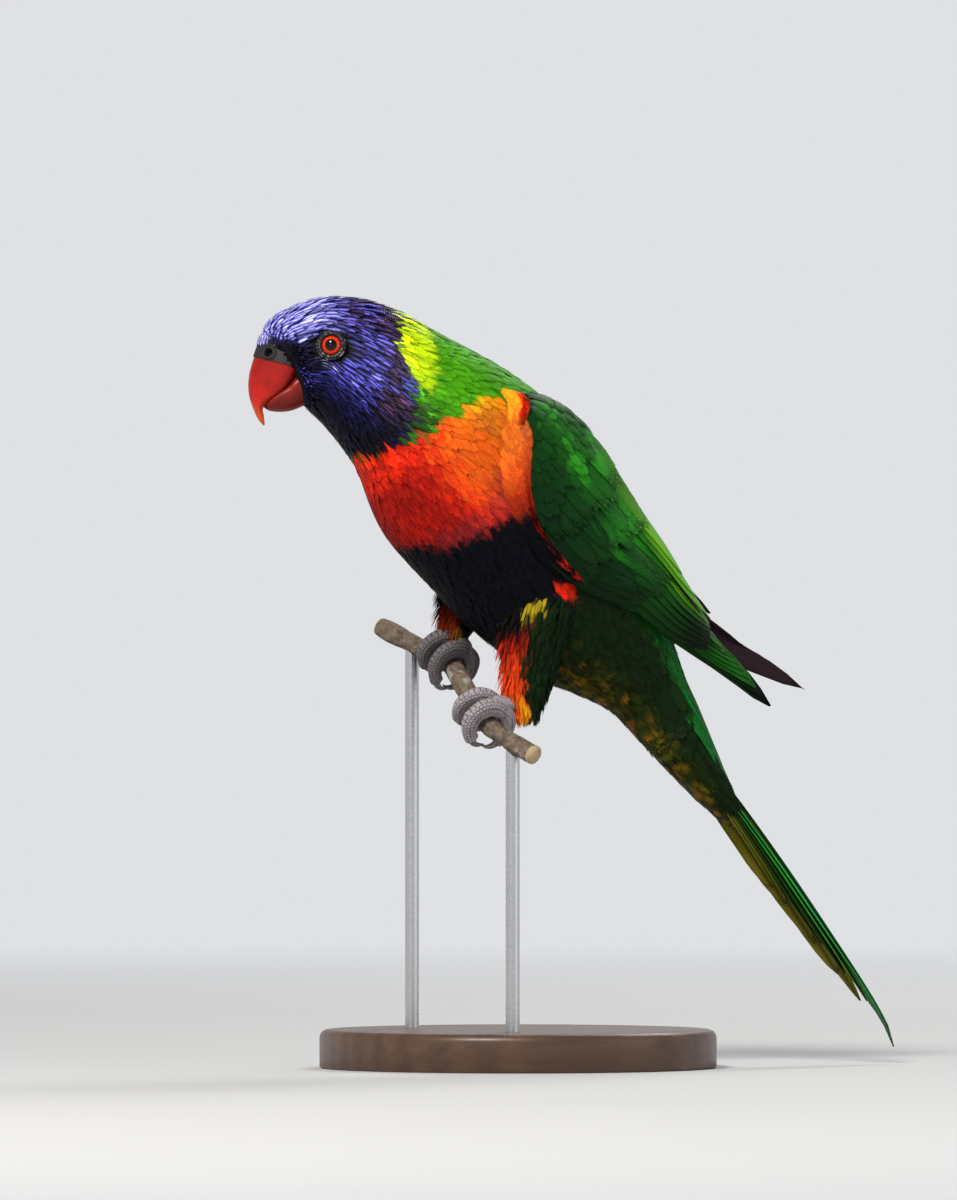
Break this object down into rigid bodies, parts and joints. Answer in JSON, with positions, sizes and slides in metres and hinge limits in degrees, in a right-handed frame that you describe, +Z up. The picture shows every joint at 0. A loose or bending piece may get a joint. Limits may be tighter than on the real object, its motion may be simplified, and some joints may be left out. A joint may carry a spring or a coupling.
{
  "type": "rainbow lorikeet perched model",
  "caption": "Life-size still model of a rainbow lorikeet leaning forward on a short twig, long tail hanging, held by a plain round base with slim rods.",
  "frame": {"origin": "on the floor, at the middle of the round base's underside", "axes": "+Z up; the bird faces -X and its left side is towards -Y"},
  "size_m": [0.2105, 0.124, 0.2406],
  "materials": {
    "violet_head_feathers": "matte",
    "green_neck_feathers": "matte",
    "orange_breast_feathers": "matte",
    "blue_black_belly_feathers": "matte",
    "green_rump_feathers": "matte",
    "green_wing_feathers": "satin",
    "green_tail_feathers": "satin",
    "orange_leg_feathers": "matte",
    "bill_horn": "gloss",
    "cere_skin": "matte",
    "eye_glaze": "gloss",
    "toe_scales": "matte",
    "twig_bark": "matte",
    "base_wood": "satin",
    "rod_steel": "satin"
  },
  "bodies": {
    "root": {"head": "violet_head_feathers", "neck": "green_neck_feathers", "breast": "orange_breast_feathers", "belly": "blue_black_belly_feathers", "rump": "green_rump_feathers", "cere": "cere_skin", "bill_upper": "bill_horn", "bill_lower": "bill_horn", "eye_right": "eye_glaze", "eye_left": "eye_glaze", "leg_left": "orange_leg_feathers", "leg_right": "orange_leg_feathers", "foot_left": "toe_scales", "foot_right": "toe_scales", "wing_left": "green_wing_feathers", "wing_right": "green_wing_feathers", "tail": "green_tail_feathers", "perch_twig": "twig_bark", "stand_base": "base_wood", "stand_rod_left": "rod_steel", "stand_rod_right": "rod_steel"}
  },
  "joints": []
}
